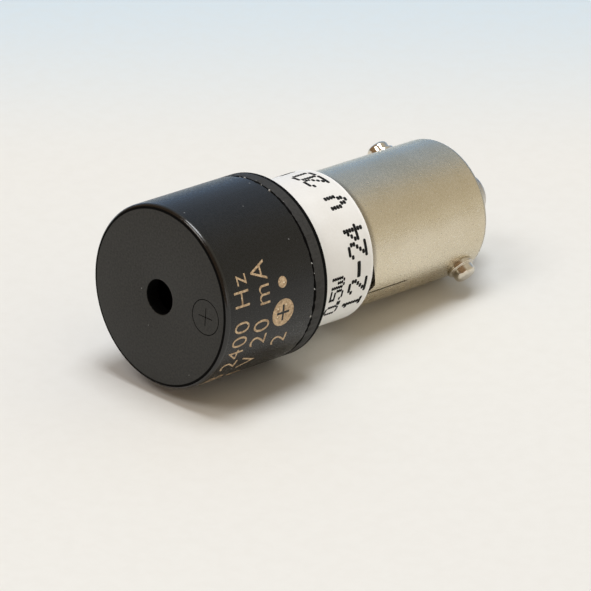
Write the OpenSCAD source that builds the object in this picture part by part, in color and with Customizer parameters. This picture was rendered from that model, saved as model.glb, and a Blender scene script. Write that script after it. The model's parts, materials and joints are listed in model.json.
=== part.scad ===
// Electronic buzzer on a miniature two-pin bayonet lamp cap.
// A magnetic sounder in a round moulded case sits on a labelled holder. The holder carries
// a rectifier board and plugs into a nickelled bayonet shell with a centre contact.
// Each piece is drawn about the buzzer's own axis, from the sound face at 0 to the contact,
// and the whole is then laid down as it rests, on the rear cover's rim and the shell's end.

/* [Sounder case] */
// Outside diameter of the sounder
case_d = 12; // [11.4:0.1:14]
// Length of the case from its face to the joint with the rear cover
case_len = 7.8; // [7.2:0.05:10]
// Side wall of the case
case_wall = 0.8; // [0.6:0.05:1]
// Thickness of the sound face
face_t = 1; // [0.8:0.1:1.3]
// Rounding of the front rim
rim_r = 0.4; // [0.1:0.05:0.5]
// Diameter of the sound hole
sound_hole_d = 2.3; // [1.6:0.1:3.2]
// Width of the ledge that the diaphragm seats on
ledge_w = 0.35; // [0.25:0.05:0.5]
// Bevel on both edges of the joint between case and rear cover
joint_bevel = 0.12; // [0.05:0.01:0.2]

/* [Rear cover] */
// Height of the ring that shows behind the case
cover_ring = 1.2; // [1:0.05:1.8]
// Floor behind the driver board
cover_floor = 0.5; // [0.4:0.05:0.7]
// Wall that clamps the diaphragm and holds the motor
cover_wall = 0.4; // [0.3:0.05:0.6]
// Rounding of the rear rim
cover_edge_r = 0.12; // [0.05:0.01:0.3]
// Height of the boss that centres the holder
boss_h = 0.6; // [0.4:0.1:1]

/* [Sounder motor] */
// Thickness of the steel diaphragm
diaphragm_t = 0.1; // [0.08:0.01:0.2]
// Diameter of the weight on the diaphragm
weight_d = 3.4; // [3:0.1:5]
// Thickness of the weight
weight_t = 0.3; // [0.2:0.05:0.5]
// Air gap between the pole and the diaphragm
air_gap = 0.25; // [0.15:0.05:0.4]
// Diameter of the pole
pole_d = 1.8; // [1.5:0.1:2.4]
// Height of the pole above the yoke
pole_len = 2.55; // [2.3:0.05:2.8]
// Diameter of the pole's shank in the yoke
shank_d = 1.2; // [0.9:0.1:1.4]
// Thickness of the yoke
yoke_t = 0.8; // [0.6:0.1:1]
// Radial width of the ring magnet
magnet_w = 1.1; // [0.9:0.1:1.3]
// Height of the ring magnet
magnet_h = 2.1; // [1.6:0.1:2.3]
// Space between the magnet and the wall around it
magnet_room = 0.25; // [0.15:0.05:0.4]
// Height of the coil
coil_h = 2.2; // [1.8:0.1:2.3]
// Space between the coil and the magnet
coil_room = 0.2; // [0.1:0.05:0.4]

/* [Driver board] */
// Thickness of the driver board
board_t = 0.6; // [0.5:0.1:0.8]
// Length of the transistor's body
transistor_l = 2.9; // [2.5:0.1:3.2]
// Width of the transistor's body
transistor_w = 1.3; // [1.1:0.1:1.6]
// Height of the transistor's body
transistor_h = 0.9; // [0.8:0.05:1]
// Reach of the transistor's legs past its body
leg_reach = 0.5; // [0.3:0.05:0.6]
// Spacing of the transistor's two legs on one side
leg_pitch = 1.9; // [1.6:0.1:2.2]
// Width of the transistor's legs
leg_w = 0.4; // [0.3:0.05:0.5]
// Thickness of the transistor's legs
leg_t = 0.15; // [0.1:0.01:0.2]
// Length of the base resistor
chip_l = 2; // [1.6:0.1:2.4]
// Width of the base resistor
chip_w = 1.25; // [0.8:0.05:1.4]
// Height of the base resistor
chip_h = 0.5; // [0.4:0.05:0.7]
// Distance of both parts from the axis
part_offset = 1.9; // [1.7:0.1:2.1]
// Room left behind the transistor
part_room = 0.3; // [0.2:0.05:0.5]

/* [Terminals] */
// Diameter of a terminal pin
terminal_d = 0.6; // [0.5:0.05:0.7]
// Distance between the two terminal pins
terminal_pitch = 6.5; // [6.3:0.05:6.7]
// Depth of a terminal's front end in the driver board
terminal_inset = 0.15; // [0.1:0.05:0.3]
// Length of a terminal past the rectifier board
terminal_tail = 0.6; // [0.4:0.1:1]

/* [Holder and label] */
// Outside diameter of the label
label_d = 9.94; // [9.7:0.02:10.4]
// Thickness of the label
label_t = 0.1; // [0.06:0.01:0.15]
// Gap between the ends of the label
label_gap = 0.3; // [0.1:0.1:0.6]
// Length of the holder between the rear cover and the shell
holder_len = 5.2; // [4.8:0.1:7]
// Wall of the holder under the label
holder_wall = 0.72; // [0.65:0.01:0.8]
// Length of the spigot that plugs into the shell
spigot_len = 4.5; // [4:0.1:5]
// Wall of the spigot
spigot_wall = 0.5; // [0.4:0.05:0.55]
// Length of the web between the board's seat and the spigot
seat_web = 1.2; // [0.9:0.1:1.5]

/* [Rectifier] */
// Thickness of the rectifier board
rect_board_t = 0.8; // [0.6:0.1:1]
// Length of the bridge rectifier
bridge_l = 4.7; // [4.3:0.1:4.9]
// Width of the bridge rectifier's body
bridge_w = 3.9; // [3.5:0.1:4.1]
// Height of the bridge rectifier
bridge_h = 2.4; // [2:0.1:2.6]
// Width over the bridge rectifier's legs
bridge_span = 6.4; // [6:0.1:6.5]
// Spacing of the bridge rectifier's legs along one side
bridge_pitch = 2.5; // [2.3:0.1:2.6]
// Width of the bridge rectifier's legs
bridge_leg_w = 0.6; // [0.5:0.05:0.8]
// Thickness of the bridge rectifier's legs
bridge_leg_t = 0.25; // [0.2:0.01:0.35]
// Length of the smoothing capacitor
cap_l = 3.2; // [2.8:0.1:3.6]
// Width of the smoothing capacitor
cap_w = 1.6; // [1.2:0.1:2]
// Height of the smoothing capacitor
cap_h = 1.2; // [0.8:0.1:1.4]
// Diameter of the dropper resistor
dropper_d = 2.3; // [2:0.1:2.8]
// Length of the dropper resistor
dropper_l = 6.2; // [5.6:0.1:6.8]
// Diameter of the dropper resistor between its end bulbs
dropper_waist_d = 2; // [1.6:0.1:2]
// Length of an end bulb on the dropper resistor
bulb_l = 1.4; // [1:0.1:1.8]
// Slope at the ends of a bulb
bulb_edge = 0.35; // [0.2:0.05:0.45]
// Space round the dropper resistor's end in the insulator
dropper_room = 0.3; // [0.2:0.05:0.5]
// Space between the bridge rectifier and the lead that crosses it
lead_room = 0.4; // [0.3:0.05:0.6]
// Diameter of the leads
lead_d = 0.5; // [0.4:0.05:0.6]
// Radius of the bends in the leads
bend_r = 0.6; // [0.5:0.05:0.8]
// Length of a lead past the front of the rectifier board
lead_tail = 0.4; // [0.2:0.1:0.8]

/* [Bayonet shell] */
// Outside diameter of the shell
shell_d = 9.18; // [9.1:0.02:9.6]
// Length of the shell
shell_len = 11.25; // [10.6:0.05:12.4]
// Sheet thickness of the shell
shell_t = 0.3; // [0.25:0.01:0.36]
// Rounding where the shell turns in at its end
shell_end_r = 0.4; // [0.35:0.05:0.8]
// Opening in the shell's end
shell_mouth_d = 7.2; // [6.6:0.1:7.4]
// Length of the slit in the shell's front
slit_len = 4.3; // [3:0.1:5]
// Width of the slit
slit_w = 0.1; // [0.06:0.02:0.3]
// Angle of the slit below the side of the shell
slit_angle = 28.5; // [0:0.5:60]
// Width of the corner cut away beside the slit
relief_w = 3.2; // [2.2:0.1:3.6]
// Depth of the corner cut away beside the slit, at its deepest
relief_l = 1; // [0.6:0.05:1.6]
// Distance of the deepest place from the slit
relief_turn = 0.6; // [0.4:0.05:0.9]
// Depth of the cut at the slit itself
relief_nib = 0.55; // [0.3:0.05:0.6]

/* [Bayonet pins] */
// Diameter of a bayonet pin
pin_d = 1.5; // [1.2:0.05:1.7]
// Diameter of a pin's tenon in the shell
tenon_d = 1.1; // [0.8:0.05:1.15]
// Width over both bayonet pins
pin_span = 10.9; // [10.6:0.1:11.6]
// Distance of the pins from the shell's end
pin_inset = 1.55; // [1.5:0.05:2.5]
// Angle of the near pin below the side of the shell
pin_angle = 35.5; // [0:0.5:60]
// Rounding of a pin's end
pin_round = 0.2; // [0.1:0.05:0.3]
// Width of the collar beyond the pin
collar_w = 0.2; // [0.1:0.05:0.3]
// Height of the collar over the shell
collar_h = 0.22; // [0.15:0.01:0.3]
// Depth of the rivet head inside the shell
head_depth = 0.45; // [0.35:0.05:0.6]

/* [Centre contact] */
// Thickness of the insulator inside the shell's end
plug_t = 0.8; // [0.5:0.05:1.2]
// Height of the insulator's cone
cone_h = 1.9; // [1.6:0.1:2.6]
// Thickness of the cone's top under the eyelet
cone_web = 1; // [0.6:0.1:1.4]
// Diameter of the cone's top
cone_top_d = 4.2; // [4:0.1:5]
// Bore of the insulator and the eyelet
eyelet_bore = 0.9; // [0.8:0.05:1.2]
// Diameter of the contact eyelet
eyelet_d = 3.8; // [3.4:0.1:4]
// Thickness of the contact eyelet
eyelet_t = 0.25; // [0.2:0.05:0.4]
// Diameter of the solder button
button_d = 3.2; // [2.6:0.1:3.4]
// Height of the solder button
button_h = 1.2; // [1:0.1:2]
// Rounding of the solder button
button_r = 0.5; // [0.3:0.05:0.8]
// Depth of the lead's end in the solder button
solder_depth = 0.65; // [0.3:0.05:0.8]

/* [Fits] */
// Clearance on radius between pieces that slide together
fit_gap = 0.04; // [0.02:0.01:0.06]
// Clearance between faces that meet along a curve
film_gap = 0.01; // [0.005:0.005:0.02]

/* [Hidden] */

$fn = 96;
cut = 1;            // how far a cutting body runs past what it cuts
arc_steps = 6;      // straight steps in a rounded edge

// Radii of the nested walls, from the outside in
case_r = case_d / 2;
case_bore_r = case_r - case_wall;
cavity_r = case_bore_r - ledge_w;
cover_wall_r = case_bore_r - fit_gap;
cover_bore_r = cover_wall_r - cover_wall;
magnet_r = cover_bore_r - magnet_room;
magnet_bore_r = magnet_r - magnet_w;
coil_r = magnet_bore_r - coil_room;
pole_r = pole_d / 2;
label_r = label_d / 2;
holder_r = label_r - label_t - film_gap;
holder_bore_r = holder_r - holder_wall;
shell_r = shell_d / 2;
shell_bore_r = shell_r - shell_t;
spigot_r = shell_bore_r - fit_gap;
spigot_bore_r = spigot_r - spigot_wall;
mouth_r = shell_mouth_d / 2;
terminal_r = terminal_d / 2;
lead_r = lead_d / 2;
pin_r = pin_d / 2;
tenon_r = tenon_d / 2;

// Places along the axis, worked forward from the cover's floor and back from its rear face
cover_end = case_len + cover_ring;
floor_s = cover_end - cover_floor;
board_end = floor_s - part_room - transistor_h;
board_s = board_end - board_t;
yoke_s = board_s - yoke_t;
pole_s = yoke_s - pole_len;
diaphragm_end = pole_s - air_gap;
diaphragm_s = diaphragm_end - diaphragm_t;
shoulder_s = cover_end + holder_len;
spigot_end = shoulder_s + spigot_len;
seat_s = shoulder_s - seat_web;
rect_board_s = seat_s - rect_board_t;
terminal_end = seat_s + terminal_tail;
bridge_end = seat_s + bridge_h;
shell_s = shoulder_s + fit_gap;
shell_end = shell_s + shell_len;
shell_web_s = shell_end - shell_t;
pin_s = shell_end - pin_inset;
plug_s = shell_web_s - plug_t;
cone_end = shell_end + cone_h;
eyelet_end = cone_end + eyelet_t;
contact_end = eyelet_end + button_h;
lead_y = bridge_l / 2 + lead_room + lead_r;
cross_s = bridge_end + lead_room + lead_r;
dropper_s = cross_s + bend_r + lead_room;
dropper_end = dropper_s + dropper_l;

// The line under the buzzer touches the rounded rear rim and the rounded shell end
rim_drop = (case_r - cover_edge_r) - (shell_r - shell_end_r);
rim_run = (shell_end - shell_end_r) - (cover_end - cover_edge_r);
rim_reach = sqrt(rim_drop * rim_drop + rim_run * rim_run);
rest_tilt = acos((shell_end_r - cover_edge_r) / rim_reach) - atan2(rim_run, rim_drop);
rest_z = (cover_end - cover_edge_r) * sin(rest_tilt)
    + (case_r - cover_edge_r) * cos(rest_tilt) + cover_edge_r;
front_y = rim_r * cos(rest_tilt) - (case_r - rim_r) * sin(rest_tilt) - rim_r;
button_arc_r = button_d / 2 - button_r;
rear_y = (contact_end - button_r) * cos(rest_tilt) + button_arc_r * sin(rest_tilt) + button_r;
rest_y = -(front_y + rear_y) / 2;

plastic_black = [0.16, 0.16, 0.16];
nickel = [0.72, 0.69, 0.62];
steel = [0.62, 0.63, 0.65];
tin = [0.76, 0.77, 0.78];
fibreglass = [0.16, 0.36, 0.22];
chip_black = [0.1, 0.1, 0.11];

// Points of a rounded corner about a centre, given in radius and axial place
function corner(centre, r, from, to) =
    [for (i = [0:arc_steps]) let (a = from + (to - from) * i / arc_steps)
        centre + r * [cos(a), sin(a)]];

// Lays the axis down along +Y with the contact end low
module laid() {
    translate([0, rest_y, rest_z])
        rotate([-(90 + rest_tilt), 0, 0])
            children();
}

// A turned shape, with its seam underneath
module revolved(points) {
    rotate(90)
        rotate_extrude()
            polygon(points);
}

module disc(r, from, to) {
    translate([0, 0, from])
        cylinder(r = r, h = to - from);
}

module ring(r, bore_r, from, to) {
    difference() {
        disc(r, from, to);
        disc(bore_r, from - cut, to + cut);
    }
}

// A box centred in x and y that stands between two places along the axis
module block(l, w, from, to) {
    translate([-l / 2, -w / 2, from])
        cube([l, w, to - from]);
}

module at_terminals() {
    for (side = [-1, 1])
        translate([side * terminal_pitch / 2, 0, 0])
            children();
}

// A quarter bend in the plane of y and the axis, from +axis round to +y
module bend() {
    translate([0, bend_r, 0])
        rotate([90, 0, -90])
            rotate_extrude(angle = 90)
                translate([bend_r, 0])
                    circle(r = lead_r);
}

module case() {
    color(plastic_black)
        laid()
            revolved(concat(
                [[sound_hole_d / 2, 0]],
                corner([case_r - rim_r, rim_r], rim_r, -90, 0),
                [
                    [case_r, case_len - joint_bevel],
                    [case_r - joint_bevel, case_len],
                    [case_bore_r, case_len],
                    [case_bore_r, diaphragm_s],
                    [cavity_r, diaphragm_s],
                    [cavity_r, face_t],
                    [sound_hole_d / 2, face_t],
                ]));
}

module rear_cover() {
    boss_r = holder_bore_r - fit_gap;
    color(plastic_black)
        laid()
            difference() {
                revolved(concat(
                    [
                        [0, floor_s],
                        [cover_bore_r, floor_s],
                        [cover_bore_r, diaphragm_end],
                        [cover_wall_r, diaphragm_end],
                        [cover_wall_r, case_len],
                        [case_r - joint_bevel, case_len],
                        [case_r, case_len + joint_bevel],
                    ],
                    corner([case_r - cover_edge_r, cover_end - cover_edge_r], cover_edge_r, 0, 90),
                    [
                        [boss_r, cover_end],
                        [boss_r, cover_end + boss_h],
                        [0, cover_end + boss_h],
                    ]));
                at_terminals()
                    disc(terminal_r + fit_gap, floor_s - cut, cover_end + boss_h + cut);
            }
}

module diaphragm() {
    color(steel)
        laid()
            disc(case_bore_r - fit_gap, diaphragm_s, diaphragm_end);
}

module diaphragm_weight() {
    color(steel)
        laid()
            disc(weight_d / 2, diaphragm_s - weight_t, diaphragm_s);
}

module pole() {
    color(steel)
        laid()
            union() {
                disc(pole_r, pole_s, yoke_s);
                disc(shank_d / 2, yoke_s, board_s);
            }
}

module coil() {
    color([0.72, 0.4, 0.2])
        laid()
            ring(coil_r, pole_r + fit_gap, yoke_s - coil_h, yoke_s);
}

module ring_magnet() {
    color([0.25, 0.25, 0.27])
        laid()
            ring(magnet_r, magnet_bore_r, yoke_s - magnet_h, yoke_s);
}

module yoke() {
    color(steel)
        laid()
            ring(cover_bore_r - fit_gap, shank_d / 2 + fit_gap, yoke_s, board_s);
}

module driver_board() {
    color(fibreglass)
        laid()
            difference() {
                disc(cover_bore_r - fit_gap, board_s, board_end);
                at_terminals()
                    disc(terminal_r + fit_gap, board_s - cut, board_end + cut);
            }
}

module transistor() {
    leg_l = transistor_w / 2 + leg_reach;
    color(chip_black)
        laid()
            translate([0, part_offset, 0])
                union() {
                    block(transistor_l, transistor_w, board_end + leg_t, board_end + transistor_h);
                    for (side = [-1, 1])
                        translate([(side * leg_pitch - leg_w) / 2, -leg_l, board_end])
                            cube([leg_w, leg_l, leg_t]);
                    translate([-leg_w / 2, 0, board_end])
                        cube([leg_w, leg_l, leg_t]);
                }
}

module base_resistor() {
    color(chip_black)
        laid()
            translate([0, -part_offset, 0])
                block(chip_l, chip_w, board_end, board_end + chip_h);
}

module terminal(side) {
    color(tin)
        laid()
            translate([side * terminal_pitch / 2, 0, 0])
                disc(terminal_r, board_s + terminal_inset, terminal_end);
}

module positive_terminal() {
    terminal(1);
}

module negative_terminal() {
    terminal(-1);
}

module holder() {
    color(plastic_black)
        laid()
            revolved([
                [holder_bore_r, cover_end],
                [holder_r, cover_end],
                [holder_r, shoulder_s],
                [spigot_r, shoulder_s],
                [spigot_r, spigot_end],
                [spigot_bore_r, spigot_end],
                [spigot_bore_r, seat_s],
                [holder_bore_r, seat_s],
            ]);
}

// The label's ends meet on the side away from the bayonet slit
module label() {
    color([0.9, 0.89, 0.87])
        laid()
            difference() {
                ring(label_r, label_r - label_t, cover_end, shoulder_s);
                rotate(180 + slit_angle)
                    translate([0, -label_gap / 2, cover_end - cut])
                        cube([label_r + cut, label_gap, holder_len + 2 * cut]);
            }
}

module rectifier_board() {
    color(fibreglass)
        laid()
            difference() {
                disc(holder_bore_r - fit_gap, rect_board_s, seat_s);
                at_terminals()
                    disc(terminal_r + fit_gap, rect_board_s - cut, seat_s + cut);
                for (side = [-1, 1])
                    translate([0, side * lead_y, 0])
                        disc(lead_r + fit_gap, rect_board_s - cut, seat_s + cut);
            }
}

module bridge_rectifier() {
    color(chip_black)
        laid()
            union() {
                block(bridge_w, bridge_l, seat_s + bridge_leg_t, bridge_end);
                for (side = [-1, 1])
                    translate([0, side * bridge_pitch / 2, 0])
                        block(bridge_span, bridge_leg_w, seat_s, seat_s + bridge_leg_t);
            }
}

module smoothing_capacitor() {
    color([0.66, 0.5, 0.33])
        laid()
            block(cap_l, cap_w, rect_board_s - cap_h, rect_board_s);
}

// A moulded resistor with a bulb at each end
module dropper_resistor() {
    waist_r = dropper_waist_d / 2;
    bulb_r = dropper_d / 2;
    color([0.75, 0.66, 0.5])
        laid()
            revolved([
                [0, dropper_s],
                [bulb_r - bulb_edge, dropper_s],
                [bulb_r, dropper_s + bulb_edge],
                [bulb_r, dropper_s + bulb_l - bulb_edge],
                [waist_r, dropper_s + bulb_l],
                [waist_r, dropper_end - bulb_l],
                [bulb_r, dropper_end - bulb_l + bulb_edge],
                [bulb_r, dropper_end - bulb_edge],
                [bulb_r - bulb_edge, dropper_end],
                [0, dropper_end],
            ]);
}

// From the rectifier board, over the bridge rectifier and to the dropper resistor
module board_lead() {
    color(tin)
        laid()
            union() {
                translate([0, lead_y, 0])
                    disc(lead_r, rect_board_s - lead_tail, cross_s - bend_r);
                translate([0, lead_y, cross_s - bend_r])
                    mirror([0, 1, 0])
                        bend();
                translate([0, bend_r, cross_s])
                    rotate([-90, 0, 0])
                        cylinder(r = lead_r, h = lead_y - 2 * bend_r);
                translate([0, 0, cross_s + bend_r])
                    mirror([0, 0, 1])
                        bend();
                disc(lead_r, cross_s + bend_r, dropper_s);
            }
}

// From the dropper resistor through the insulator into the solder button
module contact_lead() {
    color(tin)
        laid()
            disc(lead_r, dropper_end, eyelet_end + solder_depth);
}

// From the rectifier board past the spigot and out to the shell
module shell_lead() {
    turn_s = spigot_end + lead_room + lead_r;
    color(tin)
        laid()
            mirror([0, 1, 0])
                union() {
                    translate([0, lead_y, 0])
                        disc(lead_r, rect_board_s - lead_tail, turn_s - bend_r);
                    translate([0, lead_y, turn_s - bend_r])
                        bend();
                    translate([0, lead_y + bend_r, turn_s])
                        rotate([-90, 0, 0])
                            cylinder(r = lead_r, h = shell_bore_r - fit_gap - lead_y - bend_r);
                }
}

// The corner beside the slit is cut back on two slants, and the shell's end turns in
module bayonet_shell() {
    inner_end_r = shell_end_r - shell_t;
    relief_slope = (relief_w - relief_turn) / relief_l;
    color(nickel)
        laid()
            difference() {
                revolved(concat(
                    [[shell_bore_r, shell_s], [shell_r, shell_s]],
                    corner([shell_r - shell_end_r, shell_end - shell_end_r], shell_end_r, 0, 90),
                    [[mouth_r, shell_end], [mouth_r, shell_web_s]],
                    corner([shell_r - shell_end_r, shell_end - shell_end_r], inner_end_r, 90, 0)));
                rotate(slit_angle)
                    translate([0, 0, shell_s])
                        rotate([0, 90, 0])
                            linear_extrude(height = shell_r + cut)
                                polygon([
                                    [cut, slit_w / 2],
                                    [-slit_len, slit_w / 2],
                                    [-slit_len, -slit_w / 2],
                                    [-relief_nib, -slit_w / 2],
                                    [-relief_l, -relief_turn],
                                    [cut, -relief_w - cut * relief_slope],
                                ]);
                for (turn = [0, 180])
                    rotate(pin_angle + turn)
                        translate([0, 0, pin_s])
                            rotate([0, 90, 0])
                                cylinder(r = tenon_r + film_gap, h = shell_r + cut);
            }
}

// A turned pin with a collar outside the shell, a tenon through it and a rivet head inside
module bayonet_pin(turn) {
    pin_end = pin_span / 2;
    collar_r = pin_r + collar_w;
    color(nickel)
        laid()
            rotate(pin_angle + turn)
                difference() {
                    translate([0, 0, pin_s])
                        rotate([0, 90, 0])
                            revolved(concat(
                                [
                                    [0, shell_bore_r - head_depth],
                                    [collar_r, shell_bore_r - head_depth],
                                    [collar_r, shell_r + collar_h],
                                    [pin_r, shell_r + collar_h],
                                ],
                                corner([pin_r - pin_round, pin_end - pin_round], pin_round, 0, 90),
                                [[0, pin_end]]));
                    difference() {
                        ring(shell_r + film_gap, shell_bore_r - film_gap,
                            pin_s - collar_r - cut, pin_s + collar_r + cut);
                        translate([0, 0, pin_s])
                            rotate([0, 90, 0])
                                cylinder(r = tenon_r, h = shell_r + cut);
                    }
                }
}

module near_pin() {
    bayonet_pin(0);
}

module far_pin() {
    bayonet_pin(180);
}

// Glass moulded through the shell's mouth, hollow behind where the resistor ends
module insulator() {
    recess_r = dropper_d / 2 + dropper_room;
    plug_r = shell_bore_r - head_depth - fit_gap;
    neck_r = mouth_r - fit_gap;
    color([0.09, 0.09, 0.1])
        laid()
            revolved([
                [eyelet_bore / 2, cone_end - cone_web],
                [recess_r, cone_end - cone_web],
                [recess_r, plug_s],
                [plug_r, plug_s],
                [plug_r, shell_web_s],
                [neck_r, shell_web_s],
                [neck_r, shell_end],
                [cone_top_d / 2, cone_end],
                [eyelet_bore / 2, cone_end],
            ]);
}

module contact_eyelet() {
    color([0.8, 0.66, 0.36])
        laid()
            ring(eyelet_d / 2, eyelet_bore / 2, cone_end, eyelet_end);
}

module contact_button() {
    color(tin)
        laid()
            difference() {
                revolved(concat(
                    [[0, eyelet_end], [button_d / 2, eyelet_end]],
                    corner([button_arc_r, contact_end - button_r], button_r, 0, 90),
                    [[0, contact_end]]));
                disc(lead_r + film_gap, eyelet_end - cut, eyelet_end + solder_depth);
            }
}

case();
rear_cover();
diaphragm();
diaphragm_weight();
pole();
coil();
ring_magnet();
yoke();
driver_board();
transistor();
base_resistor();
positive_terminal();
negative_terminal();
holder();
label();
rectifier_board();
bridge_rectifier();
smoothing_capacitor();
dropper_resistor();
board_lead();
contact_lead();
shell_lead();
bayonet_shell();
near_pin();
far_pin();
insulator();
contact_eyelet();
contact_button();
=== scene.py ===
import json
import math
import random
import re

import bmesh
import bpy
from mathutils import Matrix, Vector, noise

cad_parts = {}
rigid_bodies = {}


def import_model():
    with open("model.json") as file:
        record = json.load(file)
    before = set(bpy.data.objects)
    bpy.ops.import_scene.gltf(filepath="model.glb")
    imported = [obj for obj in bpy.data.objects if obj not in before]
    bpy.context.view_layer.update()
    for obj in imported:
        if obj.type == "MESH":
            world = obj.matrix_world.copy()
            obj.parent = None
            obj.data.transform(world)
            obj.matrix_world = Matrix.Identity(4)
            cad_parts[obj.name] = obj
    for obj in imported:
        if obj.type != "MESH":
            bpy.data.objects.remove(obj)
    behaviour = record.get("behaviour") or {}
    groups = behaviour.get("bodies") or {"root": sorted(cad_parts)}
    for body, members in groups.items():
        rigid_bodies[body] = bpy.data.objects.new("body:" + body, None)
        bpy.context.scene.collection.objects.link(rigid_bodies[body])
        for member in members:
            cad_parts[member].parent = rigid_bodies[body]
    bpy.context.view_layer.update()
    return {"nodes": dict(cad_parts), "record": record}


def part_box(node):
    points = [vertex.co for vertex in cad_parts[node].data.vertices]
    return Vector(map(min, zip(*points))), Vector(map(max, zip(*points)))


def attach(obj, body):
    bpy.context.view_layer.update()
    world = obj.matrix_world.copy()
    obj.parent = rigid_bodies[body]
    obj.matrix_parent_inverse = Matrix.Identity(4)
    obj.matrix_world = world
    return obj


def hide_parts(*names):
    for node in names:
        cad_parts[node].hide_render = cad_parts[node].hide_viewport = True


for oldObject in list(bpy.data.objects):
    bpy.data.objects.remove(oldObject)
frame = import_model()
scene = bpy.context.scene
mm = 0.001
hair = 1e-4  # lengths in millimetres that differ by less count as equal
weldGap = 1e-5  # points of a flat solid that lie closer than this are joined
drillSides = 48

# The buzzer's own axis, from its sound face to its centre contact
mounts = {mount["name"]: mount for mount in frame["record"]["mounts"]}
axis = -Vector(mounts["sound_face"]["axis"]).normalized()
contactPoint = Vector(mounts["centre_contact"]["pos_m"])
facePoint = Vector(mounts["sound_face"]["pos_m"])
faceCentre = contactPoint - axis * axis.dot(contactPoint - facePoint)
side = Vector((1, 0, 0))
up = side.cross(axis)

# Pieces are modelled in millimetres with z along the axis and y down, then set into the frame
intoFrame = Matrix((side * mm, -up * mm, axis * mm)).transposed().to_4x4()
intoFrame.translation = faceCentre


def measure(node):
    # start, end, inner and outer radius of a CAD node about the axis
    alongs = []
    outs = []
    for vertex in frame["nodes"][node].data.vertices:
        point = vertex.co - faceCentre
        along = point.dot(axis)
        alongs.append(along / mm)
        outs.append((point - axis * along).length / mm)
    return min(alongs), max(alongs), min(outs), max(outs)


def onAxis(along, radius, turn):
    # turn is in degrees from the near side towards the top
    angle = math.radians(turn)
    return Vector((radius * math.cos(angle), -radius * math.sin(angle), along))


caseStart, caseEnd, holeRadius, caseRadius = measure("case")
coverEnd, labelEnd, labelBore, labelRadius = measure("label")
shellStart, shellEnd, mouthRadius, shellRadius = measure("bayonet_shell")
print("frame loaded, axis", [round(value, 4) for value in axis])


# Mesh tools

def rounded(corners, steps=6):
    # corners are (along, radius, rounding), in order round a closed section
    path = []
    for index, (along, radius, rounding) in enumerate(corners):
        here = Vector((along, radius))
        if rounding == 0:
            path.append(here)
            continue
        toBefore = (Vector(corners[index - 1][:2]) - here).normalized()
        toAfter = (Vector(corners[(index + 1) % len(corners)][:2]) - here).normalized()
        half = toBefore.angle(toAfter) / 2
        centre = here + (toBefore + toAfter).normalized() * rounding / math.sin(half)
        start = (here + toBefore * rounding / math.tan(half) - centre).normalized()
        end = (here + toAfter * rounding / math.tan(half) - centre).normalized()
        path.extend(centre + start.slerp(end, step / steps) * rounding for step in range(steps + 1))
    return path


def revolve(path, segments, shape=None):
    # path is a closed section, or one that starts and ends on the axis
    mesh = bmesh.new()
    rings = []
    for along, radius in path:
        if radius < hair:
            rings.append([mesh.verts.new((0, 0, along))])
            continue
        ring = []
        for index in range(segments):
            turn = 360 * index / segments
            spot = shape(along, radius, turn) if shape else (along, radius)
            ring.append(mesh.verts.new(onAxis(spot[0], spot[1], turn)))
        rings.append(ring)
    onPole = len(rings[0]) == 1
    for index in range(len(rings) - 1 if onPole else len(rings)):
        low = rings[index]
        high = rings[(index + 1) % len(rings)]
        for step in range(segments):
            after = (step + 1) % segments
            if len(low) == 1:
                mesh.faces.new((low[0], high[after], high[step]))
            elif len(high) == 1:
                mesh.faces.new((low[step], low[after], high[0]))
            else:
                mesh.faces.new((low[step], low[after], high[after], high[step]))
    return mesh


def makePiece(name, mesh, finishes, sharpAngle=40):
    # a piece in millimetres, which seat sets into the frame
    bmesh.ops.recalc_face_normals(mesh, faces=mesh.faces)
    data = bpy.data.meshes.new(name)
    mesh.to_mesh(data)
    mesh.free()
    for finish in finishes:
        data.materials.append(finish)
    piece = bpy.data.objects.new(name, data)
    scene.collection.objects.link(piece)
    piece["sharpAngle"] = sharpAngle
    return piece


def carve(piece, cutter):
    # takes a closed cutter out of a piece, and keeps the cutter's finish on the cut
    change = piece.modifiers.new("carve", "BOOLEAN")
    change.operation = "DIFFERENCE"
    change.solver = "EXACT"
    change.material_mode = "TRANSFER"
    change.object = cutter
    graph = bpy.context.evaluated_depsgraph_get()
    cut = bpy.data.meshes.new_from_object(piece.evaluated_get(graph))
    piece.modifiers.clear()
    cut.name = piece.data.name
    piece.data = cut
    bpy.data.objects.remove(cutter)


def drill(piece, finish, radius, length, place):
    # a round hole, where place sets the drill's middle and its direction
    tool = bmesh.new()
    bmesh.ops.create_cone(
        tool, cap_ends=True, segments=drillSides, radius1=radius, radius2=radius, depth=length, matrix=place)
    carve(piece, makePiece("drill", tool, [finish]))


def seat(piece, slotName, *nodes):
    # into the frame, smooth but for its edges, on the buzzer's one body
    piece.data.transform(intoFrame)
    piece.data.shade_smooth()
    piece.data.set_sharp_from_angle(angle=math.radians(piece["sharpAngle"]))
    weight = piece.modifiers.new("even shading", "WEIGHTED_NORMAL")
    weight.keep_sharp = True
    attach(piece, "root")
    if nodes:
        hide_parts(*nodes)


def circle(radius, points):
    angles = [2 * math.pi * index / points for index in range(points)]
    return [(radius * math.cos(angle), radius * math.sin(angle)) for angle in angles]


def plusSign(reach, width):
    half = width / 2
    corners = []
    for quarter in range(4):
        cosine = math.cos(math.pi / 2 * quarter)
        sine = math.sin(math.pi / 2 * quarter)
        for x, y in ((half, half), (reach, half), (reach, -half)):
            corners.append((x * cosine + y * sine, y * cosine - x * sine))
    return corners


def solidFrom(curve):
    # a filled curve or text as a closed flat solid
    holder = bpy.data.objects.new("flat", curve)
    scene.collection.objects.link(holder)
    graph = bpy.context.evaluated_depsgraph_get()
    data = bpy.data.meshes.new_from_object(holder.evaluated_get(graph))
    mesh = bmesh.new()
    mesh.from_mesh(data)
    bmesh.ops.remove_doubles(mesh, verts=mesh.verts, dist=weldGap)
    bpy.data.objects.remove(holder)
    return mesh


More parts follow.
